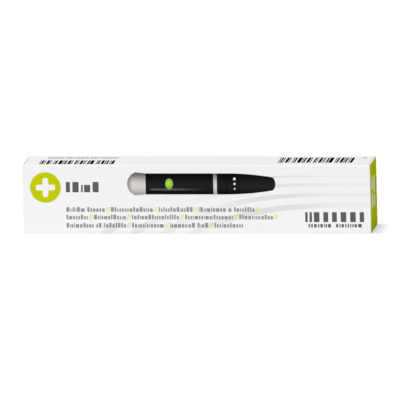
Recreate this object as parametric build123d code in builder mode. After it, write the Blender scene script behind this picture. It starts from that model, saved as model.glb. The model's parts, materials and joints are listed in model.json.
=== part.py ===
"""Long slim folding carton with a tuck-in closure at each end, lying on its narrow long side.

One sheet of folding board is creased round four long panels and glued along the back-bottom
edge.  Each end has two dust flaps under a closure that hinges on the back panel and ends in a
slit-lock tuck lip.  Printed fields lie on the board as films of ink.

Millimetres.  +X to the right, -Y to the front, +Z up, origin at the middle of the bottom face.
"""

from build123d import *
from math import asin, atan2, cos, degrees, sin, sqrt
import os

# Outside of the closed carton
length = 136.0
depth = 21.0
height = 27.0

# Folding board and its creases
board = 0.45
crease_inside = 0.05

# Glued seam along the back-bottom edge
glue_line = 0.03
glue_flap_width = 12.0
glue_flap_taper = 3.2
glue_flap_end_gap = 0.8
seam_setback = 0.3

# Dust flaps, under the closures
layer_gap = 0.06
dust_flap_spacing = 6.2
dust_lip_gap = 0.3
dust_hinge_gap = 0.3
dust_shoulder = 4.0
dust_shoulder_step = 0.9
dust_taper = 1.4
dust_hinge_taper = 4.0
dust_corner = 2.5

# Closures
closure_setback = 0.1
hinge_gap = 0.1
lip_gap = 0.3
lip_length = 12.0
lip_side_gap = 0.2
lip_corner = 6.0
slit_length = 4.0
slit_gap = 0.3

# Ink, drawn as a film on the board
ink = 0.04
knockout_gap = 0.05
ink_bleed = 3.0
hinge_ink_turn = 45.0

# The printed layout follows the panels: columns along X, rows up Z, lanes back along Y
column = length / 68
row = height / 18
lane = depth / 14

# Badge
badge_column = 4.5
badge_row = 12.1
badge_rows = 8.0
badge_bar = 1.5
badge_bar_length = 5.0

# Text, drawn as bars: a row, the word lengths in columns of each phrase, and the gaps marked
text_start = 8.5
title_row = 12.2
title_columns = 6.4
title_rows = 2.7
text_rows = 1.25
word_gap = 0.5
tick_space = 1.2
tick_pitch = 0.35
tick_width = 0.15
tick_slant = 0.25
tick_rows = 1.4
text_lines = (
    (6.35, ((3.6, 3.4), (8.2,), (6.6,), (5.3, 0.6, 4.0)), 4),
    (4.35, ((4.2,), (6.2,), (9.2,), (9.4,), (6.6,)), 5),
    (2.2, ((5.3, 1.0, 4.3), (6.2,), (4.9, 2.1), (5.6,)), 3),
)
corner_words = (
    (55.2, 4.33, 11.5, 2.6),
    (55.8, 2.07, 4.4, 0.9),
    (61.2, 2.07, 5.0, 0.9),
)
small_print_lanes = 0.9
top_words = (
    (10.0, 4.2, 3.1),
    (10.0, 7.7, 1.4),
    (10.0, 9.5, 4.6),
    (10.0, 14.5, 3.3),
    (11.9, 4.2, 5.2),
    (11.9, 9.8, 2.2),
    (11.9, 12.4, 5.6),
    (10.9, 65.6, 0.9),
)

# Codes: the first and last column, the middle lane and the lanes that each one fills
left_code = (3.2, 18.6, 4.2, 5.6)
right_code = (49.7, 65.0, 7.4, 7.6)
modules_in_column = 6

# Picture
picture_start = 20.5
picture_row = 13.05
picture_columns = 29.0
picture_rows = 5.5
cap_columns = 3.6
cap_shoulder = 0.45
cap_swell = 1.1
nose_share = 0.62
ring_column = 17.2
ring_columns = 0.7
nose_column = 19.5
button_column = 8.2
button_columns = 1.45
button_rows = 2.7
dial_column = 21.0
dial_dots = ((-1.3, 0.24), (0.0, 0.3), (1.3, 0.36))

# Bars left open in the green ends: lane, row and length in rows
end_bar_lanes = 1.7
end_bars = ((4.2, 8.0, 4.2), (4.2, 12.6, 3.6), (8.0, 7.4, 3.0), (8.0, 11.8, 4.6))

# Creases and panels, worked out from the sizes above
crease_mid = crease_inside + board / 2
crease_outside = crease_inside + board
back_mid = depth / 2 - board / 2
top_mid = height - board / 2
seam_mid = 1.5 * board + glue_line
dust_face = length / 2 - board - layer_gap
body_end = dust_face - crease_outside
dust_tip = (height + dust_flap_spacing) / 2

# A closure turns about the middle of the board at the back corner, and its lip is an arc about
# the same line, so it slides out past the front panel at an even distance
hinge_x = length / 2 - board / 2
hinge_y = back_mid
lip_outside = depth - 1.5 * board - lip_gap
lip_inside = lip_outside - board
lip_mid = lip_outside - board / 2
lip_height = height - 4 * board - 2 * lip_side_gap
closure_height = height - 2 * closure_setback
slit_to_slit = closure_height - 2 * slit_length
edge_reach = sqrt(lip_outside**2 - (board / 2) ** 2)

# Printable faces, each with its origin at the lower left corner as it is read
front_face = Plane(origin=(-length / 2, -depth / 2, 0), x_dir=(1, 0, 0), z_dir=(0, -1, 0))
top_face = Plane(origin=(-length / 2, -depth / 2, height), x_dir=(1, 0, 0), z_dir=(0, 0, 1))


def lip_bend(radius):
    """Corner from the closure's panel into its lip, at this radius from the middle of the crease.

    The crease is a circle that touches the panel's middle line and the lip's arc.  Returns the
    points where the corner leaves the panel and where it meets the lip.
    """
    reach = sqrt((lip_mid - crease_mid) ** 2 - crease_mid**2)
    turn = atan2(crease_mid, reach)
    leave = (hinge_x - crease_mid + radius, hinge_y - reach)
    meet_reach = lip_mid - crease_mid + radius
    meet = (hinge_x - meet_reach * crease_mid / (lip_mid - crease_mid), hinge_y - meet_reach * cos(turn))
    return leave, meet, meet_reach, degrees(turn)


# Dust flaps of the right end, one from the top panel and one from the bottom panel
with BuildPart() as dust_flaps:
    lip_side = hinge_y - sqrt((lip_inside - dust_lip_gap) ** 2 - (hinge_x - dust_face + board) ** 2)
    hinge_side = depth / 2 - board - dust_hinge_gap
    with BuildSketch(Plane.XZ.offset(-hinge_side)):
        with BuildLine():
            FilletPolyline(
                (body_end - board, top_mid),
                (dust_face - board / 2, top_mid),
                (dust_face - board / 2, dust_tip),
                radius=crease_mid,
            )
        trace(line_width=board)
    extrude(amount=hinge_side - lip_side)
    # Seen from the end: a shoulder for the slit lock on the lip side, a taper on the hinge side
    with BuildSketch(Plane.YZ.offset(body_end - board)):
        with BuildLine():
            Polyline(
                (lip_side, height),
                (lip_side, height - dust_shoulder),
                (lip_side + dust_shoulder_step, height - dust_shoulder),
                (lip_side + dust_shoulder_step + dust_taper, dust_tip),
                (hinge_side - dust_hinge_taper, dust_tip),
                (hinge_side, height - crease_outside),
                (hinge_side, height),
                close=True,
            )
        outline = make_face()
        fillet(outline.vertices().group_by(Axis.Y)[0], radius=dust_corner)
    extrude(amount=length / 2 - body_end, mode=Mode.INTERSECT)
    mirror(about=Plane.XY.offset(height / 2))


# The folded sheet: four long panels, the glue flap and the four dust flaps
with BuildPart() as folded_board:
    with BuildSketch(Plane.YZ):
        with BuildLine():
            FilletPolyline(
                (back_mid - crease_outside, seam_mid),
                (back_mid, seam_mid),
                (back_mid, top_mid),
                (-back_mid, top_mid),
                (-back_mid, board / 2),
                (depth / 2 - seam_setback, board / 2),
                radius=crease_mid,
            )
        trace(line_width=board)
    extrude(amount=body_end, both=True)
    # The glue flap lies inside, glued to the bottom panel
    with BuildSketch(Plane.XY.offset(board)):
        glue_root = body_end - glue_flap_end_gap
        glue_start = depth / 2 - crease_outside
        glue_tip = depth / 2 - glue_flap_width
        with BuildLine():
            Polyline(
                (-glue_root, glue_start),
                (glue_root, glue_start),
                (glue_root - glue_flap_taper, glue_tip),
                (glue_flap_taper - glue_root, glue_tip),
                close=True,
            )
        make_face()
    extrude(amount=glue_line + board)
    # The front panel and its two long creases run on to raw edges
    for end_plane in (Plane.YZ.offset(body_end), Plane.YZ.offset(-length / 2)):
        with BuildSketch(end_plane):
            with BuildLine():
                Line((-back_mid, crease_outside), (-back_mid, height - crease_outside))
                for crease_height, first_turn in ((height - crease_outside, 90), (crease_outside, 180)):
                    CenterArc((crease_outside - depth / 2, crease_height), crease_mid, first_turn, 90)
            trace(line_width=board)
        extrude(amount=length / 2 - body_end)
    # The back panel ends at the closures' hinges
    with BuildSketch(Plane.XZ.offset(-depth / 2)):
        with Locations((0, (height + seam_mid - board / 2) / 2)):
            Rectangle(length - 2 * (board + hinge_gap), height + board / 2 - seam_mid - 2 * crease_outside)
    extrude(amount=board)
    add(dust_flaps.part)
    mirror(dust_flaps.part, about=Plane.YZ)


# Tuck lip of the right closure, standing behind the front panel
with BuildPart() as tuck_lip:
    slit_turn = degrees(asin((board / 2 + slit_gap) / lip_mid))
    lip_turn = lip_length / lip_mid
    lip_reach = lip_outside * sin(lip_turn)
    with BuildSketch(Plane.XY.offset((height - lip_height) / 2)):
        with BuildLine():
            CenterArc((hinge_x, hinge_y), lip_mid, -90 - slit_turn, slit_turn - degrees(lip_turn))
        trace(line_width=board)
    extrude(amount=lip_height)
    # Seen from the front, the two corners of its free edge are rounded
    with BuildSketch(Plane.XZ.offset(depth / 2)):
        with Locations((hinge_x - lip_reach / 2, height / 2)):
            outline = Rectangle(lip_reach, lip_height)
        fillet(outline.vertices().group_by(Axis.X)[0], radius=lip_corner)
    extrude(amount=-depth, mode=Mode.INTERSECT)


# Right closure: end panel, crease and tuck lip, hinged along the back corner
with BuildPart() as right_closure:
    leave, meet, _, bend_turn = lip_bend(crease_mid)
    with BuildSketch(Plane.XY.offset(closure_setback)):
        with Locations((hinge_x, (hinge_y + leave[1]) / 2)):
            Rectangle(board, hinge_y - leave[1])
        with Locations((hinge_x, hinge_y)):
            Circle(board / 2)
    extrude(amount=closure_height)
    # Between the slits the board turns the corner into the lip
    with BuildSketch(Plane.XY.offset(closure_setback + slit_length)):
        with BuildLine():
            TangentArc(leave, meet, tangent=(0, -1))
            CenterArc((hinge_x, hinge_y), lip_mid, -90 - bend_turn, -bend_turn)
        trace(line_width=board)
    extrude(amount=slit_to_slit)
    # Beyond the slits the panel stays flat, out to its cut edge
    with BuildSketch(Plane.YZ.offset(hinge_x - board / 2)):
        for slit_middle in (closure_setback + slit_length / 2, height - closure_setback - slit_length / 2):
            with Locations(((leave[1] + hinge_y - edge_reach) / 2, slit_middle)):
                Rectangle(edge_reach - hinge_y + leave[1], slit_length)
    extrude(amount=board)
    add(tuck_lip.part)

with BuildPart() as left_closure:
    mirror(right_closure.part, about=Plane.YZ)


def ink_bar(start, middle, width, height):
    """Bar of ink in a sketch on a printed face, by its left end and its middle line."""
    with Locations((start + width / 2, middle)):
        Rectangle(width, height)


def code_bars(first_column, last_column, middle_lane, lanes):
    """Bars of ink that read like a code, in a rhythm that holds no number."""
    bar_rhythm = (1, 2, 1, 3, 1, 1, 2, 4, 1, 2, 3)
    gap_rhythm = (1, 1, 2, 1, 3, 1, 2)
    module = column / modules_in_column
    start = first_column * column
    step = 0
    while start + module * max(bar_rhythm) < last_column * column:
        width = module * bar_rhythm[step % len(bar_rhythm)]
        ink_bar(start, middle_lane * lane, width, lanes * lane)
        start += width + module * gap_rhythm[step % len(gap_rhythm)]
        step += 1


def text_layout():
    """Words and the gaps between phrases on the front, as (start, row, width) in columns and rows."""
    words = []
    gaps = []
    for text_row, phrases, gap_count in text_lines:
        start = text_start
        for number, phrase in enumerate(phrases):
            for word in phrase:
                words.append((start, text_row, word))
                start += word + word_gap
            start -= word_gap
            if number < gap_count:
                gaps.append((start + tick_space / 2, text_row))
            start += tick_space
    return words, gaps


words, phrase_gaps = text_layout()


# Green ink over the outside of the right closure, with plain bars left open in it
with BuildPart() as right_end_field:
    leave, meet, meet_reach, bend_turn = lip_bend(crease_outside + ink / 2)
    outer_x = length / 2 + ink / 2
    with BuildSketch(Plane.XY.offset(closure_setback)):
        with BuildLine():
            CenterArc((hinge_x, hinge_y), outer_x - hinge_x, hinge_ink_turn, -hinge_ink_turn)
            Line((outer_x, hinge_y), leave)
        trace(line_width=ink)
    extrude(amount=closure_height)
    with BuildSketch(Plane.XY.offset(closure_setback + slit_length)):
        with BuildLine():
            TangentArc(leave, meet, tangent=(0, -1))
            CenterArc((hinge_x, hinge_y), meet_reach, -90 - bend_turn, -degrees(ink_bleed / meet_reach))
        trace(line_width=ink)
    extrude(amount=slit_to_slit)
    with BuildSketch(Plane.YZ.offset(length / 2)):
        for slit_middle in (closure_setback + slit_length / 2, height - closure_setback - slit_length / 2):
            with Locations(((leave[1] + hinge_y - edge_reach) / 2, slit_middle)):
                Rectangle(edge_reach - hinge_y + leave[1], slit_length)
    extrude(amount=ink)
    with BuildSketch(Plane.YZ.offset(length / 2)):
        for bar_lane, bar_row, bar_rows in end_bars:
            with Locations((bar_lane * lane - depth / 2, bar_row * row)):
                SlotOverall(bar_rows * row, end_bar_lanes * lane, rotation=90)
    extrude(amount=ink, mode=Mode.SUBTRACT)

with BuildPart() as left_end_field:
    mirror(right_end_field.part, about=Plane.YZ)


# Green badge near the left end of the front, with a plain cross left open in it
with BuildPart() as badge_field:
    with BuildSketch(front_face):
        with Locations((badge_column * column, badge_row * row)):
            Circle(badge_rows * row / 2)
            RectangleRounded(badge_bar_length * row, badge_bar * row, badge_bar * row / 3, mode=Mode.SUBTRACT)
            RectangleRounded(badge_bar * row, badge_bar_length * row, badge_bar * row / 3, mode=Mode.SUBTRACT)
    extrude(amount=ink)


# Dark bars where a title and an address line would stand
with BuildPart() as title_bars:
    with BuildSketch(front_face):
        ink_bar(text_start * column, title_row * row, title_columns * column, title_rows * row)
    extrude(amount=ink)

with BuildPart() as corner_bars:
    with BuildSketch(front_face):
        for start, bar_row, width, bar_rows in corner_words:
            ink_bar(start * column, bar_row * row, width * column, bar_rows * row)
    extrude(amount=ink)


# Lines of small text as one bar for each word, with slanting double ticks between phrases
with BuildPart() as text_bars:
    with BuildSketch(front_face):
        for start, text_row, width in words:
            ink_bar(start * column, text_row * row, width * column, text_rows * row)
    extrude(amount=ink)

with BuildPart() as tick_marks:
    with BuildSketch(front_face):
        for middle, text_row in phrase_gaps:
            with Locations((middle * column, text_row * row)):
                with GridLocations(tick_pitch * column, 0, 2, 1):
                    Polygon(
                        (0, 0),
                        (tick_width * column, 0),
                        ((tick_width + tick_slant) * column, tick_rows * row),
                        (tick_slant * column, tick_rows * row),
                        align=Align.CENTER,
                    )
    extrude(amount=ink)


# Picture of a pen-shaped device, lying with its nose to the right
picture_face = Plane(
    origin=(-length / 2 + picture_start * column, -depth / 2, picture_row * row),
    x_dir=(1, 0, 0),
    z_dir=(0, -1, 0),
)
half_pen = picture_rows * row / 2
cap_end = cap_columns * column
pen_end = picture_columns * column
half_button = button_columns * column / 2

with BuildPart() as picture_metal:
    with BuildSketch(picture_face):
        # Domed end cap, a little proud of the barrel
        with BuildLine():
            shoulder = (cap_end * cap_shoulder, half_pen * cap_swell)
            Line((cap_end, half_pen), shoulder)
            dome = ThreePointArc(shoulder, (0, 0), (shoulder[0], -shoulder[1]))
            Line(dome @ 1, (cap_end, -half_pen))
            Line((cap_end, -half_pen), (cap_end, half_pen))
        make_face()
        ring_middle = ring_column * column
        with Locations((ring_middle, 0)):
            Rectangle(ring_columns * column, 2 * half_pen)
    extrude(amount=ink)

with BuildPart() as picture_body:
    with BuildSketch(picture_face):
        with BuildLine():
            barrel = Line((cap_end, half_pen), (nose_column * column, half_pen))
            nose_corner = (pen_end - column / 2, half_pen * nose_share)
            TangentArc(barrel @ 1, nose_corner, tangent=(1, 0))
            tip = ThreePointArc(nose_corner, (pen_end, 0), (nose_corner[0], -nose_corner[1]))
            under = TangentArc((nose_column * column, -half_pen), tip @ 1, tangent=(1, 0))
            Line((cap_end, -half_pen), under @ 0)
            Line((cap_end, -half_pen), barrel @ 0)
        make_face()
        with Locations((ring_middle, 0)):
            Rectangle(ring_columns * column, 3 * half_pen, mode=Mode.SUBTRACT)
        with Locations((button_column * column, 0)):
            Ellipse(half_button + knockout_gap, button_rows * row / 2 + knockout_gap, mode=Mode.SUBTRACT)
        # Dots left open in the nose, as on a depth dial
        for dot_row, dot_radius in dial_dots:
            with Locations((dial_column * column, dot_row * row)):
                Circle(dot_radius * row, mode=Mode.SUBTRACT)
    extrude(amount=ink)

with BuildPart() as picture_button:
    with BuildSketch(picture_face):
        with Locations((button_column * column, 0)):
            Ellipse(half_button, button_rows * row / 2)
    extrude(amount=ink)


# Codes on the top panel, and the small print behind the left one
with BuildPart() as left_code_bars:
    with BuildSketch(top_face):
        code_bars(*left_code)
    extrude(amount=ink)

with BuildPart() as right_code_bars:
    with BuildSketch(top_face):
        code_bars(*right_code)
    extrude(amount=ink)

with BuildPart() as top_text_bars:
    with BuildSketch(top_face):
        for text_lane, start, width in top_words:
            ink_bar(start * column, text_lane * lane, width * column, small_print_lanes * lane)
    extrude(amount=ink)


pieces = {
    "folded_board": folded_board,
    "right_closure": right_closure,
    "left_closure": left_closure,
    "right_end_field": right_end_field,
    "left_end_field": left_end_field,
    "badge_field": badge_field,
    "title_bars": title_bars,
    "corner_bars": corner_bars,
    "text_bars": text_bars,
    "tick_marks": tick_marks,
    "picture_metal": picture_metal,
    "picture_body": picture_body,
    "picture_button": picture_button,
    "left_code_bars": left_code_bars,
    "right_code_bars": right_code_bars,
    "top_text_bars": top_text_bars,
}
os.makedirs("parts", exist_ok=True)
for name, piece in pieces.items():
    piece.part.label = name
    export_step(piece.part, "parts/" + name + ".step")
    print(name, len(piece.part.solids()), round(piece.part.volume, 2), piece.part.bounding_box())
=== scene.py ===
"""Finishes, small print, hinge creases and studio for a slim folding carton.

The file is laid out as a Blender add-on and is run as a script.  Lengths are in metres, in the
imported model's frame: +X to the right, -Y to the front, +Z up, origin under the middle.
"""

import json
import math
from typing import NamedTuple

import bpy
import numpy as np
from bpy.props import FloatProperty, FloatVectorProperty, IntProperty, PointerProperty
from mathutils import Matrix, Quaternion, Vector


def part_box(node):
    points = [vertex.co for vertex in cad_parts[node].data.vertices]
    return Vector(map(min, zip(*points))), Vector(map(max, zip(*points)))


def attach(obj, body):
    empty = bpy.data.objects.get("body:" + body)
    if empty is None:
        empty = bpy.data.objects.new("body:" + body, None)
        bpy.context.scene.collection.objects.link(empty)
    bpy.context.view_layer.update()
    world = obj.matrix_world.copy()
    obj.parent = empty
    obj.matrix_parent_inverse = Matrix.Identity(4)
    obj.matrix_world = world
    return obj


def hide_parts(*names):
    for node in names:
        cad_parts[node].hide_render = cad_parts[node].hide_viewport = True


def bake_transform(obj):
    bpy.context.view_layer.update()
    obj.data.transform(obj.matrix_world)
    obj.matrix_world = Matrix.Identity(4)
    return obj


bl_info = {
    "name": "Folding carton",
    "version": (1, 0, 0),
    "blender": (4, 5, 0),
    "location": "View3D > Sidebar > Carton",
    "description": "Finishes a slim printed folding carton with tuck-in ends and sets up its studio",
    "category": "Object",
}

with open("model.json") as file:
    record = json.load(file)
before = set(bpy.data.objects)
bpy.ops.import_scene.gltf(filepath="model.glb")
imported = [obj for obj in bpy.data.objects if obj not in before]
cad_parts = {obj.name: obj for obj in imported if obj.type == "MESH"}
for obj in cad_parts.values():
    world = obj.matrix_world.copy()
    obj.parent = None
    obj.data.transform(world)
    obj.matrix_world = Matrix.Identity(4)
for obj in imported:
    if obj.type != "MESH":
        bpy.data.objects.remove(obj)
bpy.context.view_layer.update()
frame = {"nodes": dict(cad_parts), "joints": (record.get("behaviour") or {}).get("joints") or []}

MM = 0.001

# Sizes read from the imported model
BOARD_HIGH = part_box("folded_board")[1]
HALF_LENGTH = BOARD_HIGH.x
HALF_DEPTH = BOARD_HIGH.y
HEIGHT = BOARD_HIGH.z
HINGES = {joint["child"]: Vector(joint["pos_m"]) for joint in frame["joints"]}
HINGE = HINGES["right_flap"]
THICKNESS = 2 * (HALF_LENGTH - HINGE.x)
CLOSURE_LOW, CLOSURE_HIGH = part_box("right_closure")
LIP_REACH = HINGE.y - CLOSURE_LOW.y
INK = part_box("right_end_field")[1].x - HALF_LENGTH

# A crease's inner radius, the gap between two folded layers, a crease's outer radius and how far
# from the middle the dust flaps' outer face lies
CREASE_INSIDE = 0.05 * MM
LAYER_GAP = 0.06 * MM
CREASE = CREASE_INSIDE + THICKNESS
DUST_FACE = HALF_LENGTH - THICKNESS - LAYER_GAP

# How far below a face of the board, or below a closure's cut edge, a point still belongs to it
SKIN = 0.1 * THICKNESS
EDGE_SKIN = 0.03 * MM

# Sizes of the patches in the board and in the inks, from cloudy areas down to plies
BOARD_CLOUD = 9 * MM
INK_CLOUD = 5 * MM
GRAIN = 0.6 * MM
GRAIN_STRETCH = (1.6, 1.0, 1.0)
FIBRE = 0.22 * MM
SPECK = 0.12 * MM
PLY = 0.09 * MM

# How far the painted highlight along a crease fades out
CREASE_FADE = 0.1 * MM

# Where the stripes' tint changes, each from none to all of the change: the tint at the foot by
# height, and along X the tint at the right and its weakening, by a share, towards the end
FOOT_FADE = (9 * MM, 1 * MM)
FADE_IN = (-14 * MM, 34 * MM)
FADE_OUT = (33 * MM, 60 * MM)
FADE_OUT_SHARE = 0.75

# The pictured pen: its nose, the ribs on the nose and the rim of its domed end
NOSE = 19 * MM
RIB_WAVES = 23.0
RIM = 1.5 * MM

# Blocks of print: their widths beside each other, the largest share of a block's place that is a
# gap, the share of blocks that are tall, the most blocks of a word that starts with a low one, and
# the radius of their corners
BLOCK_WIDTHS = (0.5, 0.9, 1.0, 1.1, 1.45)
WIDEST_GAP = 0.45
TALL_SHARE = 0.28
SHORT_WORD = 3
BLOCK_CORNER = 0.18 * MM

# Where a hinge crease begins and ends to bend, on its way from the back panel (0) to the closure (1)
BEND_START = 0.3
BEND_END = 0.7

# The floor: half its breadth, the size of its patches, and the distances from the carton at which
# its glow begins to grow and is full
FLOOR_HALF = 3.0
FLOOR_CLOUD = 0.3
GLOW_NEAR = 0.3
GLOW_FAR = 1.5
WHITE = (1.0, 1.0, 1.0)


def from_8_bit(red, green, blue):
    """A screen colour, 0 to 255 a channel, as the linear colour that a shader takes."""
    screen = np.array((red, green, blue)) / 255
    linear = np.where(screen > 0.04045, ((screen + 0.055) / 1.055) ** 2.4, screen / 12.92)
    return tuple(float(channel) for channel in linear)


def shaded(colour, share):
    """A colour with each channel multiplied by a share."""
    return tuple(share * channel for channel in colour)


class Term:
    """A socket in a recipe's node tree.  Arithmetic on terms and numbers adds Math nodes."""

    def __init__(self, recipe, socket):
        self.recipe = recipe
        self.socket = socket

    def math(self, operation, *others, clamp=False):
        """A Math node with this term first and the others after it."""
        inputs = dict(enumerate((self, *others)))
        return self.recipe.node("ShaderNodeMath", {"operation": operation, "use_clamp": clamp}, inputs)

    def reflected(self, operation, first):
        """A Math node with this term second, for a number on the left of an operator."""
        return self.recipe.node("ShaderNodeMath", {"operation": operation}, {0: first, 1: self})

    def __add__(self, other):
        return self.math("ADD", other)

    def __radd__(self, other):
        return self.math("ADD", other)

    def __sub__(self, other):
        return self.math("SUBTRACT", other)

    def __rsub__(self, other):
        return self.reflected("SUBTRACT", other)

    def __mul__(self, other):
        return self.math("MULTIPLY", other)

    def __rmul__(self, other):
        return self.math("MULTIPLY", other)

    def __truediv__(self, other):
        return self.math("DIVIDE", other)

    def __pow__(self, other):
        return self.math("POWER", other)

    def __abs__(self):
        return self.math("ABSOLUTE")

    def __gt__(self, other):
        return self.math("GREATER_THAN", other)

    def __lt__(self, other):
        return self.math("LESS_THAN", other)

    def at_least(self, other):
        """The larger of this term and the other."""
        return self.math("MAXIMUM", other)

    def at_most(self, other):
        """The smaller of this term and the other."""
        return self.math("MINIMUM", other)

    def ramp(self, low, high):
        """0 at low, 1 at high and smooth between them, whichever of the two is larger."""
        settings = {"interpolation_type": "SMOOTHSTEP"}
        if low < high:
            inputs = {"Value": self, "From Min": low, "From Max": high, "To Min": 0.0, "To Max": 1.0}
        else:
            inputs = {"Value": self, "From Min": high, "From Max": low, "To Min": 1.0, "To Max": 0.0}
        return self.recipe.node("ShaderNodeMapRange", settings, inputs)


class Recipe:
    """The node tree of its owner, a material or the world, while it is being written."""

    def __init__(self, name, world=False):
        self.owner = bpy.data.worlds.new(name) if world else bpy.data.materials.new(name)
        self.owner.use_nodes = True
        self.tree = self.owner.node_tree
        self.tree.nodes.clear()
        self.place = self.node("ShaderNodeTexCoord", output="Object")
        parts = self.node("ShaderNodeSeparateXYZ", inputs={0: self.place}).socket.node
        self.x, self.y, self.z = (Term(self, parts.outputs[axis]) for axis in "XYZ")

    def node(self, kind, settings=None, inputs=None, output=0):
        """Any node: its settings first, then a number, colour or term for each named socket."""
        node = self.tree.nodes.new(kind)
        for name, value in (settings or {}).items():
            setattr(node, name, value)
        for name, value in (inputs or {}).items():
            socket = node.inputs[name]
            if isinstance(value, Term):
                self.tree.links.new(value.socket, socket)
            elif socket.type == "RGBA":
                socket.default_value = (*value, 1.0)
            else:
                socket.default_value = value
        return Term(self, node.outputs[output]) if node.outputs else None

    def mix(self, factor, first, second):
        """A colour that goes from first to second with the factor."""
        return self.node(
            "ShaderNodeMix",
            {"data_type": "RGBA", "clamp_factor": True},
            {0: factor, 6: first, 7: second},
            output=2,
        )

    def noise(self, size, stretch=(1.0, 1.0, 1.0), detail=2.0):
        """Noise between 0 and 1 with patches of this size in metres, stretched along the axes."""
        scale = tuple(1.0 / (size * share) for share in stretch)
        place = self.node("ShaderNodeMapping", inputs={"Vector": self.place, "Scale": scale})
        return self.node("ShaderNodeTexNoise", inputs={"Vector": place, "Scale": 1.0, "Detail": detail})

    def seen_directly(self):
        """1 for what the camera sees straight, in a mirror or through glass, and 0 for its light."""
        path = "ShaderNodeLightPath"
        camera, mirror, glass = (
            self.node(path, output=f"Is {kind} Ray") for kind in ("Camera", "Glossy", "Transmission")
        )
        return camera.at_least(mirror).at_least(glass)

    def finish(self, colour, roughness, sheen, height=None, depth=0.0):
        """Closes the tree with a Principled shader, and a Bump of the given depth in metres.

        sheen is the level of its mirror-like part, which is low on board and on matt print.
        """
        inputs = {"Base Color": colour, "Roughness": roughness, "Specular IOR Level": sheen}
        if height is not None:
            inputs["Normal"] = self.node(
                "ShaderNodeBump", inputs={"Strength": 1.0, "Distance": depth, "Height": height}
            )
        shader = self.node("ShaderNodeBsdfPrincipled", inputs=inputs)
        self.node("ShaderNodeOutputMaterial", inputs={"Surface": shader})
        return self.owner


def dress(piece, material):
    """Gives a piece one material for all of its faces."""
    piece.data.materials.clear()
    piece.data.materials.append(material)


def corner_reach(recipe):
    """How far a point lies beyond the middle of the nearest long crease, across and up."""
    across = abs(recipe.y) - (HALF_DEPTH - CREASE)
    up = abs(recipe.z - HEIGHT / 2) - (HEIGHT / 2 - CREASE)
    return across, up


def rounded_distance(recipe):
    """How far a point lies outside the carton's section, a rectangle with rounded corners.

    Zero on the outside of the board and minus the board's thickness on its inside: the length of
    the part of (across, up) beyond the corner's centre, less the corner's radius.
    """
    across, up = corner_reach(recipe)
    beyond = (across.at_least(0.0) ** 2.0 + up.at_least(0.0) ** 2.0) ** 0.5
    return across.at_least(up).at_most(0.0) + beyond - CREASE


def front_face(recipe):
    """The front of the carton."""
    return recipe.y < -HALF_DEPTH + THICKNESS / 2


def stripe_edge(recipe, foot, level, run, bend):
    """Height of a stripe's edge along X: it rises steeply from its foot and levels out.

    level * (1 - (1 - u) ** bend), where u goes from 0 at the foot to 1 a run further along.
    """
    reach = (recipe.x - foot).math("DIVIDE", run, clamp=True)
    return level * (1.0 - (1.0 - reach) ** bend)


def stripe_mask(recipe, stripes):
    """Soft curved stripes on the front, broad where they meet the bottom and thin at the right.

    A stripe lies between two rising edges, which stand a foot's breadth apart along X at the
    bottom and the stripe's thin breadth apart in height where they have levelled out.  The tint is
    strong at the foot, weakest under the picture, full at its right and weak again at the end.
    """
    soft = stripes.softness
    foot_fade = recipe.z.ramp(*FOOT_FADE)
    right_fade = recipe.x.ramp(*FADE_IN) * (1.0 - recipe.x.ramp(*FADE_OUT) * FADE_OUT_SHARE)
    mask = None
    for number in range(stripes.count):
        share = number / max(stripes.count - 1, 1)
        fall = share**stripes.crowding
        level = stripes.top_level * (1 - fall) + stripes.low_level * fall
        foot = stripes.first_foot * (1 - share) + stripes.last_foot * share
        run = stripes.run * (1 - stripes.shorter * share)
        thin = stripes.thin_breadth * (1 + stripes.thicker * share)
        upper = stripe_edge(recipe, foot, level + thin / 2, run, stripes.bend)
        lower = stripe_edge(recipe, foot + stripes.foot_breadth, level - thin / 2, run, stripes.bend)
        stripe = (upper - recipe.z).ramp(-soft, soft) * (recipe.z - lower).ramp(-soft, soft)
        foot_tint = foot_fade * (stripes.foot_tint * (1 - stripes.low_foot * share))
        right_tint = right_fade * (1 - stripes.paler_top * (1 - share))
        stripe = stripe * foot_tint.at_least(right_tint).at_least(stripes.middle_tint)
        mask = stripe if mask is None else mask.at_least(stripe)
    return mask * front_face(recipe)


def picture_reflection(recipe):
    """Faint grey under the picture, as a print of its reflection on a white table."""
    left_fade, right_fade = 6 * MM, 8 * MM
    reach, full_reach = 1.7 * MM, 0.2 * MM
    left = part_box("picture_metal")[0].x
    low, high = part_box("picture_body")
    along = recipe.x.ramp(left, left + left_fade) * recipe.x.ramp(high.x, high.x - right_fade)
    below = recipe.z.ramp(low.z - reach, low.z - full_reach) * (recipe.z < low.z)
    return along * below * front_face(recipe)


def crease_highlight_mask(recipe):
    """Painted highlight on the creases' outside: the dust flaps' and the long ones, the upper two at
    half.
    """
    across, up = corner_reach(recipe)
    along = abs(recipe.x) - (DUST_FACE - CREASE)
    upper_half = recipe.z > HEIGHT / 2
    beyond_corner = up.ramp(-CREASE_FADE, CREASE_FADE)
    long_crease_highlights = across.ramp(-CREASE_FADE, CREASE_FADE) * beyond_corner * (1.0 - upper_half * 0.5)
    dust_crease_highlights = along.ramp(-2 * CREASE_FADE, 0.0) * beyond_corner
    return long_crease_highlights.at_least(dust_crease_highlights)


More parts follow.
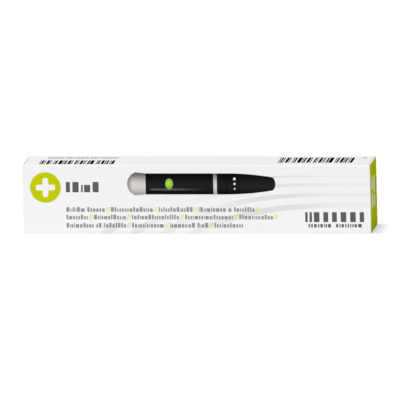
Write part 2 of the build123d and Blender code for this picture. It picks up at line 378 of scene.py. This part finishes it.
def board_material(name, finish, stripes, outside, cut_edge):
    """White folding board: coated outside, plain inside and fibrous at its cut edges.

    outside and cut_edge are functions of the recipe that give masks for those surfaces.  Each
    colour is a little deeper in patches, and the coated one also towards the top, as painted shade.
    """
    recipe = Recipe(name)
    coated, edge = outside(recipe), cut_edge(recipe)
    cloud = recipe.noise(BOARD_CLOUD, detail=3.0)
    fibre = recipe.noise(FIBRE, (2.6, 1.0, 1.0), detail=3.0)
    plies = recipe.noise(PLY, (6.0, 1.0, 6.0))
    # Random patches, and painted shade that makes the coated side a little darker towards the top
    deeper = cloud * 0.4 + recipe.z.ramp(0.0, HEIGHT) * 0.6
    white = recipe.mix(deeper, finish.outside, shaded(finish.outside, 0.975))
    # Painted highlight: paler board along the creases
    white = recipe.mix(crease_highlight_mask(recipe), white, finish.crease)
    printed = recipe.mix(stripe_mask(recipe, stripes) * stripes.strength, white, stripes.colour)
    printed = recipe.mix(picture_reflection(recipe) * stripes.reflection, printed, stripes.colour)
    plain = recipe.mix(fibre, finish.inside, shaded(finish.inside, 0.93))
    cut = recipe.mix(plies, finish.edge, shaded(finish.edge, 0.94))
    colour = recipe.mix(edge, recipe.mix(coated, plain, printed), cut)
    smoother = finish.plain_roughness - finish.varnish_roughness
    roughness = finish.plain_roughness - coated * smoother + cloud * 0.04
    grain = recipe.noise(GRAIN, GRAIN_STRETCH)
    height = grain * 0.5 * coated + fibre * (1.0 - coated) + plies * edge
    return recipe.finish(colour, roughness, finish.sheen, height, finish.grain_depth)


def body_outside(recipe):
    """The coated side of the long panels, and of the dust flaps that face the closures."""
    distance = rounded_distance(recipe)
    long_panels = distance > -SKIN
    dust_flaps = (abs(recipe.x) > DUST_FACE - SKIN) * (distance < -THICKNESS - SKIN)
    return long_panels.at_least(dust_flaps)


def body_edge(recipe):
    """The long panels' cut edges: between the two faces of the board."""
    distance = rounded_distance(recipe)
    return (distance < -SKIN) * (distance > SKIN - THICKNESS)


def closure_outside(recipe):
    """A closure's outer face, and the face of its lip away from the hinge."""
    across = abs(recipe.x) - HINGE.x
    along = recipe.y - HINGE.y
    radius = (across**2.0 + along**2.0) ** 0.5
    end = abs(recipe.x) > HALF_LENGTH - SKIN
    return end.at_least(radius > LIP_REACH - 1.5 * SKIN)


def closure_edge(recipe):
    """A closure's cut edges at its top and bottom."""
    top = recipe.z > CLOSURE_HIGH.z - EDGE_SKIN
    bottom = recipe.z < CLOSURE_LOW.z + EDGE_SKIN
    return top.at_least(bottom)


def end_face(recipe):
    """The outer face of the print on an end, without the side of the layer."""
    return abs(recipe.x) > HALF_LENGTH + 0.9 * INK


def ink_material(name, colour, mottle, sheen, face=None, beside=None):
    """A flat printed colour, with the faint mottle of ink on board.

    mottle is the share by which it is paler and deeper.  face is a function of the recipe that
    gives a mask for the printed face, where the layer's side has the colour beside.
    """
    recipe = Recipe(name)
    cloud = recipe.noise(INK_CLOUD)
    paler = cloud * 0.6 + recipe.noise(SPECK) * 0.4
    shade = recipe.mix(paler, shaded(colour, 1 - mottle), shaded(colour, 1 + mottle))
    if face is not None:
        shade = recipe.mix(face(recipe), beside, shade)
    grain = recipe.noise(GRAIN, GRAIN_STRETCH)
    return recipe.finish(shade, 0.5 + cloud * 0.1, sheen, grain, depth=0.004 * MM)


def picture_height(recipe):
    """Height on the pictured barrel, from -1 at its lower edge to 1 at its upper edge."""
    low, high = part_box("picture_body")
    return (recipe.z - (low.z + high.z) / 2) / ((high.z - low.z) / 2)


def black_picture_material(inks):
    """Half-tone of a black barrel: softly paler past its middle, with a bright line low on it.

    The line fades to the right.  The nose has faint ribs along it, and a dark joint line where it
    meets the barrel.
    """
    recipe = Recipe("printed black barrel")
    up = picture_height(recipe)
    low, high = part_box("picture_body")
    joint = high.x - NOSE
    belly = up.ramp(0.75, -0.15) * up.ramp(-1.0, -0.2)
    line = up.ramp(-0.66, -0.56) * up.ramp(-0.4, -0.52)
    along = recipe.x.ramp(low.x + 1 * MM, low.x + 3 * MM) * recipe.x.ramp(joint - 6 * MM, low.x + 8 * MM)
    ribs = (up * RIB_WAVES).math("SINE") * 0.5 + 0.5
    nose = recipe.x.ramp(joint + 3 * MM, joint + 7 * MM)
    mark = abs(recipe.x - joint).ramp(0.22 * MM, 0.1 * MM)
    light = belly * 0.016 + line * along * 0.16 + ribs * nose * 0.006 + recipe.noise(0.2 * MM) * 0.001
    colour = recipe.mix(light * (1.0 - mark), inks.black, inks.silver)
    return recipe.finish(colour, 0.45, sheen=0.0)


def silver_picture_material(inks):
    """Half-tone of turned metal: dark above, bright below its middle and half bright at its foot.

    The domed end is darker at its rim, past a fine turned line.
    """
    recipe = Recipe("printed turned metal")
    up = picture_height(recipe)
    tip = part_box("picture_metal")[0].x
    rim = tip + RIM
    bright = up.ramp(1.15, -0.1) * (1.0 - up.ramp(-0.25, -1.05) * 0.5)
    dome = recipe.x.ramp(rim, tip) * 0.45 + recipe.x.ramp(rim + 0.1 * MM, rim - 0.1 * MM) * 0.25
    turned = abs(recipe.x - rim).ramp(0.2 * MM, 0.05 * MM)
    brushed = recipe.noise(0.3 * MM, (1.0, 1.0, 9.0))
    light = bright * (0.92 + brushed * 0.12) * (1.0 - dome) * (1.0 - turned * 0.35)
    colour = recipe.mix(light, shaded(inks.silver, 0.14), inks.silver)
    return recipe.finish(colour, 0.45, sheen=0.08)


def button_material(inks):
    """Half-tone of a domed green button: paler above its middle and deeper at its rim."""
    recipe = Recipe("printed green button")
    low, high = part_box("picture_button")
    radius = (high.x - low.x) / 2
    across = (recipe.x - (low.x + high.x) / 2) / radius
    up = (recipe.z - (low.z + high.z) / 2) / radius
    off_centre = ((across + 0.2) ** 2.0 + (up - 0.3) ** 2.0) ** 0.5
    rim = (across * across + up * up).ramp(0.6, 1.0)
    pale = recipe.mix(off_centre.ramp(0.9, 0.1) * 0.6, inks.leaf, inks.pale_leaf)
    colour = recipe.mix(rim * 0.45, pale, shaded(inks.leaf, 0.5))
    return recipe.finish(colour, 0.45, sheen=0.08)


def crease_material(finish, inks):
    """Board bent at a hinge: white on the back panel's side and green on the closure's side.

    The ink's edge lies near the middle of the bend, and the ink is worn in cracks round it.
    """
    recipe = Recipe("hinge crease")
    turn = recipe.node("ShaderNodeAttribute", {"attribute_name": "turn"}, output="Fac")
    crack = recipe.noise(0.15 * MM, (1.0, 1.0, 4.0), detail=3.0)
    green = (turn + (crack - 0.5) * 0.08).ramp(0.46, 0.52)
    worn = crack.ramp(0.6, 0.75) * turn.ramp(0.35, 0.5) * turn.ramp(BEND_END, 0.55)
    printed = recipe.mix(green, finish.outside, inks.lime)
    colour = recipe.mix(worn * 0.6, printed, finish.edge)
    return recipe.finish(colour, 0.5, 0.0, crack, depth=0.01 * MM)


def new_mesh(name, points, faces):
    """A mesh object at the origin from arrays of points and of faces, all with as many corners."""
    mesh = bpy.data.meshes.new(name)
    mesh.from_pydata(points.reshape(-1, 3).tolist(), [], faces.tolist())
    mesh.update()
    piece = bpy.data.objects.new(name, mesh)
    bpy.context.scene.collection.objects.link(piece)
    return piece


def tube_faces(rings, count):
    """Four-cornered faces between rings of count points, each of which closes on itself."""
    ring, point = np.meshgrid(np.arange(rings - 1), np.arange(count), indexing="ij")
    here = ring * count + point
    after = ring * count + (point + 1) % count
    return np.stack([here, after, after + count, here + count], axis=-1).reshape(-1, 4)


def bars_of(node, upward):
    """The bars of a node as rows of (x0, x1, v0, v1), with v along the upward axis.

    Each triangle of a bar's flat face is half of the bar's rectangle, so its extent is the bar's.
    """
    mesh = frame["nodes"][node].data
    mesh.calc_loop_triangles()
    points = np.empty(len(mesh.vertices) * 3)
    mesh.vertices.foreach_get("co", points)
    corners = np.empty(len(mesh.loop_triangles) * 3, int)
    mesh.loop_triangles.foreach_get("vertices", corners)
    triangles = points.reshape(-1, 3)[corners].reshape(-1, 3, 3)
    flat = triangles[np.ptp(triangles[:, :, 3 - upward], axis=1) < INK / 2]
    low, high = flat.min(axis=1), flat.max(axis=1)
    rows = np.stack([low[:, 0], high[:, 0], low[:, upward], high[:, upward]], axis=-1)
    return np.unique(rows.round(7), axis=0)


def letter_blocks(bars, seed, pitch, body, gap):
    """Cuts each bar into plain blocks, one for a letter, as rows of (x0, x1, v0, v1).

    pitch, body and gap are shares of the bar's height: the breadth of a letter's place, the height
    of most blocks and the gap after a block.  Widths follow seeded random shares of the bar.  A
    gap is at most the widest share of its block's place, so that narrow blocks aren't slivers.
    The first block of a longer bar and some others reach the bar's full height.
    """
    chance = np.random.default_rng(seed)
    blocks = []
    for x0, x1, low, high in bars:
        tall = high - low
        count = max(1, round((x1 - x0) / (pitch * tall)))
        widths = chance.choice(BLOCK_WIDTHS, count)
        ends = x0 + (x1 - x0) * np.concatenate([[0], np.cumsum(widths)]) / widths.sum()
        gaps = np.minimum(gap * tall, WIDEST_GAP * np.diff(ends))
        full = chance.random(count) < TALL_SHARE
        full[0] = count > SHORT_WORD
        tops = np.where(full, high, low + body * tall)
        rights = ends[1:] - gaps
        rights[-1] = x1
        blocks.append(np.column_stack([ends[:-1], rights, np.full(count, low), tops]))
    return np.concatenate(blocks)


def ink_blocks(name, blocks, upward):
    """Thin rounded blocks of ink standing on a panel, one closed prism for each row of blocks.

    A block's outline is its rectangle with quarter-circle corners.  Rings of that outline lie at
    the panel, high on the ink's side and, drawn in a little, on top, and a middle point closes
    each end.  The panel is the front where the upward axis is Z, and otherwise the top.
    """
    levels = INK * np.array([0.0, 0.7, 1.0])[:, None]
    drawn_in = INK * np.array([0.0, 0.0, 0.3])[:, None]
    corners = np.arange(4)[:, None] * math.pi / 2
    turns = (corners + np.linspace(0, math.pi / 2, 4)).ravel()
    at_right = np.repeat([True, False, False, True], 4)
    at_top = np.repeat([True, True, False, False], 4)

    x0, x1, low, high = blocks.T[:, :, None, None]
    radius = np.minimum(BLOCK_CORNER, 0.45 * np.minimum(x1 - x0, high - low))
    across = np.where(at_right, x1 - radius, x0 + radius) + (radius - drawn_in) * np.cos(turns)
    up = np.where(at_top, high - radius, low + radius) + (radius - drawn_in) * np.sin(turns)
    rings = np.stack(np.broadcast_arrays(across, up, levels), -1).reshape(len(blocks), -1, 3)
    middles = np.stack(np.broadcast_arrays((x0 + x1) / 2, (low + high) / 2, levels[[0, -1]]), -1)
    foot, top = middles[:, 0], middles[:, 1]
    across, up, out = np.moveaxis(np.concatenate([foot, rings, top], axis=1), -1, 0)
    if upward == 2:
        points = np.stack([across, -HALF_DEPTH - out, up], -1)
    else:
        points = np.stack([across, up, HEIGHT + out], -1)

    count = len(turns)
    last = 1 + len(levels) * count
    here = 1 + np.arange(count)
    after = np.roll(here, -1)
    sides = 1 + tube_faces(len(levels), count)
    block_faces = np.concatenate(
        [
            np.stack([np.zeros(count, int), after, here], -1),
            sides[:, [0, 1, 2]],
            sides[:, [0, 2, 3]],
            np.stack([np.full(count, last), last - 1 - count + here, last - 1 - count + after], -1),
        ]
    )
    faces = block_faces + (last + 1) * np.arange(len(blocks))[:, None, None]
    return new_mesh(name, points, faces.reshape(-1, 3))


def hinge_crease(name, side):
    """Skin of bent board round a hinge corner, closed all round.

    A point's place is the hinge's corner line, followed from the back panel's face (turn 0) over
    the rounded bend to the closure's face (turn 1), and the height up the carton.  The skin's back
    is the same line drawn in by a twentieth towards the hinge, on the two panels only square to
    them, and a row of faces from the line to its back closes each end.
    """
    turns, levels = 25, 12
    arm = 1.1 * MM
    radius = THICKNESS / 2 + INK + 0.004 * MM
    sink = 0.9 * INK
    drawn_in = 0.95
    turn = np.linspace(0, 1, turns)
    quarter = np.clip((turn - BEND_START) / (BEND_END - BEND_START), 0, 1) * math.pi / 2
    back = np.clip(BEND_START - turn, 0, None) / BEND_START
    down = np.clip(turn - BEND_END, 0, None) / (1 - BEND_END)
    x = np.sin(quarter) * radius - arm * back
    y = np.cos(quarter) * radius - arm * down - sink * back
    inner_x = np.where(back > 0, x, drawn_in * x)
    inner_y = np.where(down > 0, y, drawn_in * y)
    loop = np.concatenate([np.stack([x, y], -1), np.stack([inner_x, inner_y], -1)[::-1]])
    points = np.empty((levels, len(loop), 3))
    points[..., 0] = side * (HINGE.x + loop[:, 0])
    points[..., 1] = HINGE.y + loop[:, 1]
    points[..., 2] = np.linspace(CLOSURE_LOW.z, CLOSURE_HIGH.z, levels)[:, None]

    near = np.arange(turns - 1)
    far = len(loop) - 1 - near
    cap = np.stack([near, near + 1, far - 1, far], -1)
    top_cap = cap + (levels - 1) * len(loop)
    faces = np.concatenate([cap[:, ::-1], tube_faces(levels, len(loop)), top_cap])
    if side > 0:
        faces = faces[:, ::-1]
    piece = new_mesh(name, points, faces)
    label = piece.data.attributes.new("turn", "FLOAT", "POINT")
    label.data.foreach_set("value", np.tile([*turn, *turn[::-1]], levels).astype(np.float32))
    return piece


class BoardFinish(bpy.types.PropertyGroup):
    """Colours and texture of the folding board."""

    outside: FloatVectorProperty(
        name="Coated side", description="Colour of the coated side", subtype="COLOR",
        default=from_8_bit(244, 244, 244), min=0, max=1,
    )
    inside: FloatVectorProperty(
        name="Plain side", description="Colour of the uncoated inside", subtype="COLOR",
        default=from_8_bit(236, 233, 226), min=0, max=1,
    )
    edge: FloatVectorProperty(
        name="Cut edge", description="Colour of the board's cut edges", subtype="COLOR",
        default=from_8_bit(250, 249, 246), min=0, max=1,
    )
    # The painted highlight: the paler colour of the coated side along the creases
    crease: FloatVectorProperty(
        name="Crease", description="Colour of the coated side along a crease", subtype="COLOR",
        default=from_8_bit(250, 250, 250), min=0, max=1,
    )
    sheen: FloatProperty(
        name="Sheen", description="Level of the board's mirror-like part", default=0.04, min=0, max=1,
        subtype="FACTOR",
    )
    varnish_roughness: FloatProperty(
        name="Roughness", description="Roughness of the coated side", default=0.6, min=0, max=1,
        subtype="FACTOR",
    )
    plain_roughness: FloatProperty(
        name="Plain roughness", description="Roughness of the uncoated inside", default=0.86, min=0,
        max=1, subtype="FACTOR",
    )
    grain_depth: FloatProperty(
        name="Grain depth", description="Depth of the board's grain", default=0.006 * MM,
        unit="LENGTH", precision=6,
    )


class InkColours(bpy.types.PropertyGroup):
    """Colours of the printing inks."""

    lime: FloatVectorProperty(
        name="Lime", description="Badge and ends", subtype="COLOR", default=from_8_bit(194, 202, 8),
        min=0, max=1,
    )
    pale_lime: FloatVectorProperty(
        name="Pale lime", description="Ticks between the words", subtype="COLOR",
        default=from_8_bit(214, 221, 52), min=0, max=1,
    )
    leaf: FloatVectorProperty(
        name="Leaf green", description="Pictured button", subtype="COLOR",
        default=from_8_bit(150, 204, 38), min=0, max=1,
    )
    pale_leaf: FloatVectorProperty(
        name="Pale leaf green", description="Light on the pictured button", subtype="COLOR",
        default=(0.5, 0.78, 0.1), min=0, max=1,
    )
    dark: FloatVectorProperty(
        name="Dark grey", description="Title and address line", subtype="COLOR",
        default=from_8_bit(92, 92, 94), min=0, max=1,
    )
    middle: FloatVectorProperty(
        name="Mid grey", description="Small print", subtype="COLOR", default=from_8_bit(149, 149, 151),
        min=0, max=1,
    )
    black: FloatVectorProperty(
        name="Black", description="Barrel and codes", subtype="COLOR", default=from_8_bit(16, 14, 17),
        min=0, max=1,
    )
    silver: FloatVectorProperty(
        name="Silver", description="Metal in the picture", subtype="COLOR",
        default=from_8_bit(214, 210, 204), min=0, max=1,
    )


class StripePrint(bpy.types.PropertyGroup):
    """The pale curved stripes on the front."""

    count: IntProperty(name="Stripes", description="Number of stripes", default=4, min=1, max=8)
    top_level: FloatProperty(
        name="Top level", description="Height of the highest stripe", default=22.6 * MM, unit="LENGTH"
    )
    low_level: FloatProperty(
        name="Low level", description="Height of the lowest stripe", default=11.15 * MM, unit="LENGTH"
    )
    first_foot: FloatProperty(
        name="First foot", description="Where the highest stripe meets the foot", default=-38.2 * MM,
        unit="LENGTH",
    )
    last_foot: FloatProperty(
        name="Last foot", description="Where the lowest stripe meets the foot", default=-4.1 * MM,
        unit="LENGTH",
    )
    crowding: FloatProperty(
        name="Crowding", description="How much closer the higher stripes lie", default=1.13, min=0.5,
        max=3,
    )
    run: FloatProperty(
        name="Run", description="Length over which the highest stripe levels out", default=86 * MM,
        unit="LENGTH",
    )
    shorter: FloatProperty(
        name="Shorter", description="Share by which the lowest stripe's run is shorter", default=0.2,
        min=0, max=0.9,
    )
    bend: FloatProperty(
        name="Bend", description="How early a stripe levels out", default=3.1, min=1, max=8
    )
    thin_breadth: FloatProperty(
        name="Thin end", description="Breadth of the highest stripe at the right", default=0.55 * MM,
        unit="LENGTH",
    )
    thicker: FloatProperty(
        name="Thicker", description="How many times its own breadth the lowest stripe gains",
        default=2.2, min=0, max=9,
    )
    foot_breadth: FloatProperty(
        name="Foot", description="Breadth of a stripe along the bottom", default=4.6 * MM, unit="LENGTH"
    )
    softness: FloatProperty(
        name="Softness", description="How far a stripe's edge fades", default=0.22 * MM, unit="LENGTH",
        precision=5,
    )
    foot_tint: FloatProperty(
        name="Foot tint", description="Share of the tint at the highest stripe's foot", default=0.64,
        min=0, max=1, subtype="FACTOR",
    )
    low_foot: FloatProperty(
        name="Paler foot", description="Share by which the lowest stripe's foot is paler", default=0.45,
        min=0, max=1, subtype="FACTOR",
    )
    paler_top: FloatProperty(
        name="Paler top", description="Share by which the highest stripe is paler at the right",
        default=0.28, min=0, max=1, subtype="FACTOR",
    )
    middle_tint: FloatProperty(
        name="Weakest tint", description="Share of the tint under the picture", default=0.12, min=0,
        max=1, subtype="FACTOR",
    )
    strength: FloatProperty(
        name="Strength", description="Depth of the tint", default=1.0, min=0, max=1, subtype="FACTOR"
    )
    reflection: FloatProperty(
        name="Reflection", description="Depth of the tint right below the picture", default=0.2, min=0,
        max=1, subtype="FACTOR",
    )
    colour: FloatVectorProperty(
        name="Tint", description="Colour of the stripes", subtype="COLOR",
        default=from_8_bit(221, 221, 221), min=0, max=1,
    )


class Studio(bpy.types.PropertyGroup):
    """Camera and light."""

    azimuth: FloatProperty(
        name="Azimuth", description="Camera's turn to the right", default=math.radians(7.1),
        subtype="ANGLE",
    )
    elevation: FloatProperty(
        name="Elevation", description="Camera's height angle", default=math.radians(9.75),
        subtype="ANGLE",
    )
    view_width: FloatProperty(
        name="View width", description="Width that the camera sees", default=155.3 * MM, unit="LENGTH"
    )
    aim_right: FloatProperty(
        name="Aim right", description="Picture's middle, right of the front's middle",
        default=1.37 * MM, unit="LENGTH",
    )
    aim_up: FloatProperty(
        name="Aim up", description="Picture's middle, above the front's middle", default=-0.26 * MM,
        unit="LENGTH",
    )
    sky: FloatProperty(name="Sky", description="Strength of the even light", default=0.4)
    key: FloatProperty(name="Key", description="Power of the lamp in front", default=33.7, unit="POWER")
    top: FloatProperty(name="Top", description="Power of the lamp above", default=4.85, unit="POWER")
    back: FloatProperty(name="Back", description="Power of the lamp behind", default=3.7, unit="POWER")
    floor_glow: FloatProperty(
        name="Floor glow", description="Light that the floor adds to itself for the camera",
        default=0.28,
    )


class CARTON_OT_board(bpy.types.Operator):
    """Finish the folded board and both closures as coated white folding board"""

    bl_idname = "carton.board"
    bl_label = "Folding board"

    def execute(self, context):
        finish, stripes = context.scene.carton_board, context.scene.carton_stripes
        body = board_material("folding board", finish, stripes, body_outside, body_edge)
        closure = board_material("closure board", finish, stripes, closure_outside, closure_edge)
        dress(frame["nodes"]["folded_board"], body)
        for node in ("right_closure", "left_closure"):
            dress(frame["nodes"][node], closure)
        return {"FINISHED"}


class CARTON_OT_inks(bpy.types.Operator):
    """Finish the flat printed fields: the green ends, the badge, the ticks and the codes"""

    bl_idname = "carton.inks"
    bl_label = "Printed fields"

    def execute(self, context):
        inks, board = context.scene.carton_inks, context.scene.carton_board
        even = {"mottle": 0.02, "sheen": 0.0}
        lime = ink_material("lime ink", inks.lime, **even)
        end_lime = ink_material("lime end ink", inks.lime, **even, face=end_face, beside=board.edge)
        pale_lime = ink_material("pale lime ink", inks.pale_lime, **even)
        black = ink_material("black code ink", inks.black, **even)
        greens = {
            "right_end_field": end_lime,
            "left_end_field": end_lime,
            "badge_field": lime,
            "tick_marks": pale_lime,
        }
        for node, ink in greens.items():
            dress(frame["nodes"][node], ink)
            # Green throws no colour on the floor beside it, so that the carton's shadow stays grey
            frame["nodes"][node].visible_diffuse = False
        for node in ("left_code_bars", "right_code_bars"):
            dress(frame["nodes"][node], black)
        return {"FINISHED"}


class CARTON_OT_picture(bpy.types.Operator):
    """Finish the pictured pen as a half-tone print of black plastic, metal and a green button"""

    bl_idname = "carton.picture"
    bl_label = "Picture"

    def execute(self, context):
        inks = context.scene.carton_inks
        dress(frame["nodes"]["picture_body"], black_picture_material(inks))
        dress(frame["nodes"]["picture_metal"], silver_picture_material(inks))
        dress(frame["nodes"]["picture_button"], button_material(inks))
        return {"FINISHED"}


class Print(NamedTuple):
    """How the bars of one node are cut into blocks.  letter_blocks gives the meaning of its sizes."""

    name: str
    node: str
    slot: str
    seed: int
    pitch: float
    body: float
    gap: float
    upward: int = 2


PRINTS = (
    Print("title_blocks", "title_bars", "dark_grey_ink", seed=5, pitch=0.68, body=0.72, gap=0.24),
    Print("corner_blocks", "corner_bars", "dark_grey_ink", seed=11, pitch=0.78, body=1.0, gap=0.4),
    Print("text_blocks", "text_bars", "mid_grey_ink", seed=3, pitch=0.56, body=0.72, gap=0.18),
    Print(
        "top_text_blocks", "top_text_bars", "mid_grey_ink", seed=9, pitch=0.6, body=0.75, gap=0.14,
        upward=1,
    ),
)


class CARTON_OT_small_print(bpy.types.Operator):
    """Break the bars of print into plain blocks, one for each letter that might stand there"""

    bl_idname = "carton.small_print"
    bl_label = "Small print"

    def execute(self, context):
        inks = context.scene.carton_inks
        finishes = {
            "dark_grey_ink": ink_material("dark grey ink", inks.dark, mottle=0.04, sheen=0.05),
            "mid_grey_ink": ink_material("mid grey ink", inks.middle, mottle=0.05, sheen=0.0),
        }
        for line in PRINTS:
            node, slot = line.node, line.slot
            blocks = letter_blocks(bars_of(node, line.upward), line.seed, line.pitch, line.body, line.gap)
            piece = ink_blocks(line.name, blocks, line.upward)
            dress(piece, finishes[slot])
            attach(piece, "carton")
            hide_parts(node)
        return {"FINISHED"}


class CARTON_OT_creases(bpy.types.Operator):
    """Bridge each closure's hinge with the bent board of the crease"""

    bl_idname = "carton.creases"
    bl_label = "Hinge creases"

    def execute(self, context):
        material = crease_material(context.scene.carton_board, context.scene.carton_inks)
        for side, body in ((1, "right_flap"), (-1, "left_flap")):
            piece = hinge_crease(body.replace("flap", "hinge_crease"), side)
            dress(piece, material)
            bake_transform(piece)
        return {"FINISHED"}


class CARTON_OT_stage(bpy.types.Operator):
    """Set the white floor, the soft lamps, the world and the camera"""

    bl_idname = "carton.stage"
    bl_label = "Studio"

    def execute(self, context):
        studio = context.scene.carton_studio
        make_floor(studio)
        make_world(context.scene, studio)
        make_lamps(studio)
        make_camera(context.scene, studio)
        context.scene.view_settings.view_transform = "Standard"
        return {"FINISHED"}


def make_floor(studio):
    """A wide white floor that shows white to the camera and keeps the carton's shadow.

    What it adds to itself there is small round the carton and full far away, past the lamps' reach.
    """
    corners = FLOOR_HALF * np.array([(-1, -1, 0), (1, -1, 0), (1, 1, 0), (-1, 1, 0)])
    floor = new_mesh("floor", corners, np.array([[0, 1, 2, 3]]))
    recipe = Recipe("white floor")
    far = ((recipe.x * recipe.x + recipe.y * recipe.y) ** 0.5).ramp(GLOW_NEAR, GLOW_FAR)
    added = recipe.mix(far, shaded(WHITE, studio.floor_glow), WHITE)
    shade = recipe.mix(recipe.noise(FLOOR_CLOUD), shaded(WHITE, 0.92), shaded(WHITE, 0.9))
    glow = recipe.node("ShaderNodeEmission", inputs={"Color": added, "Strength": recipe.seen_directly()})
    matt = recipe.node("ShaderNodeBsdfDiffuse", inputs={"Color": shade})
    shader = recipe.node("ShaderNodeAddShader", inputs={0: matt, 1: glow})
    recipe.node("ShaderNodeOutputMaterial", inputs={"Surface": shader})
    dress(floor, recipe.owner)


def make_world(scene, studio):
    """Even light from all round, which shows as plain white to the camera and in reflections."""
    recipe = Recipe("white studio", world=True)
    strength = recipe.seen_directly() * (1 - studio.sky) + studio.sky
    light = recipe.node("ShaderNodeBackground", inputs={"Color": WHITE, "Strength": strength})
    recipe.node("ShaderNodeOutputWorld", inputs={"Surface": light})
    scene.world = recipe.owner


def make_lamps(studio):
    """Square soft lamps, each aimed at the carton's middle: in front, above and behind.

    A row holds a lamp's name, its place, the breadth of its square and its power.
    """
    middle = Vector((0, 0, HEIGHT / 2))
    lamps = (
        ("key lamp", (-0.6, -2.7, 0.8), 0.9, studio.key),
        ("top lamp", (-0.15, 0.0, 1.2), 0.3, studio.top),
        ("back lamp", (-0.4, 1.1, 0.5), 0.9, studio.back),
    )
    for name, place, breadth, power in lamps:
        lamp = bpy.data.lights.new(name, "AREA")
        lamp.shape = "SQUARE"
        lamp.size = breadth
        lamp.energy = power
        holder = bpy.data.objects.new(name, lamp)
        holder.location = place
        holder.rotation_euler = (Vector(place) - middle).to_track_quat("Z", "Y").to_euler()
        bpy.context.scene.collection.objects.link(holder)


def make_camera(scene, studio):
    """A camera without perspective, at the reference view's angles, rolled to level the long edges."""
    azimuth, elevation = studio.azimuth, studio.elevation
    roll = math.atan(math.tan(azimuth) * math.sin(elevation))
    back = Vector(
        (
            math.sin(azimuth) * math.cos(elevation),
            -math.cos(azimuth) * math.cos(elevation),
            math.sin(elevation),
        )
    )
    turn = (-back).to_track_quat("-Z", "Y") @ Quaternion((0, 0, 1), -roll)
    right, up = turn @ Vector((1, 0, 0)), turn @ Vector((0, 1, 0))
    front_middle = Vector((0, -HALF_DEPTH, HEIGHT / 2))
    camera = bpy.data.cameras.new("camera")
    camera.type = "ORTHO"
    camera.ortho_scale = studio.view_width
    camera.clip_end = 10
    holder = bpy.data.objects.new("camera", camera)
    holder.rotation_mode = "QUATERNION"
    holder.rotation_quaternion = turn
    holder.location = front_middle + right * studio.aim_right + up * studio.aim_up + back
    scene.collection.objects.link(holder)
    scene.camera = holder


class CARTON_PT_sidebar(bpy.types.Panel):
    """Carton tools in the 3D view's sidebar"""

    bl_idname = "CARTON_PT_sidebar"
    bl_label = "Folding carton"
    bl_space_type = "VIEW_3D"
    bl_region_type = "UI"
    bl_category = "Carton"

    def draw(self, context):
        for operator in OPERATORS:
            self.layout.operator(operator.bl_idname)


GROUPS = {
    "carton_board": BoardFinish,
    "carton_inks": InkColours,
    "carton_stripes": StripePrint,
    "carton_studio": Studio,
}
OPERATORS = (
    CARTON_OT_board,
    CARTON_OT_inks,
    CARTON_OT_picture,
    CARTON_OT_small_print,
    CARTON_OT_creases,
    CARTON_OT_stage,
)


def register():
    """Registers the classes and puts each property group on the scene."""
    for item in (*GROUPS.values(), *OPERATORS, CARTON_PT_sidebar):
        bpy.utils.register_class(item)
    for name, group in GROUPS.items():
        setattr(bpy.types.Scene, name, PointerProperty(type=group))


def unregister():
    """Takes the property groups and the classes away again."""
    for name in GROUPS:
        delattr(bpy.types.Scene, name)
    for item in (CARTON_PT_sidebar, *reversed(OPERATORS), *reversed(GROUPS.values())):
        bpy.utils.unregister_class(item)


def main():
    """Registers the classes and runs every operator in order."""
    register()
    bpy.ops.carton.board()
    bpy.ops.carton.inks()
    bpy.ops.carton.picture()
    bpy.ops.carton.small_print()
    bpy.ops.carton.creases()
    bpy.ops.carton.stage()


if __name__ == "__main__":
    main()
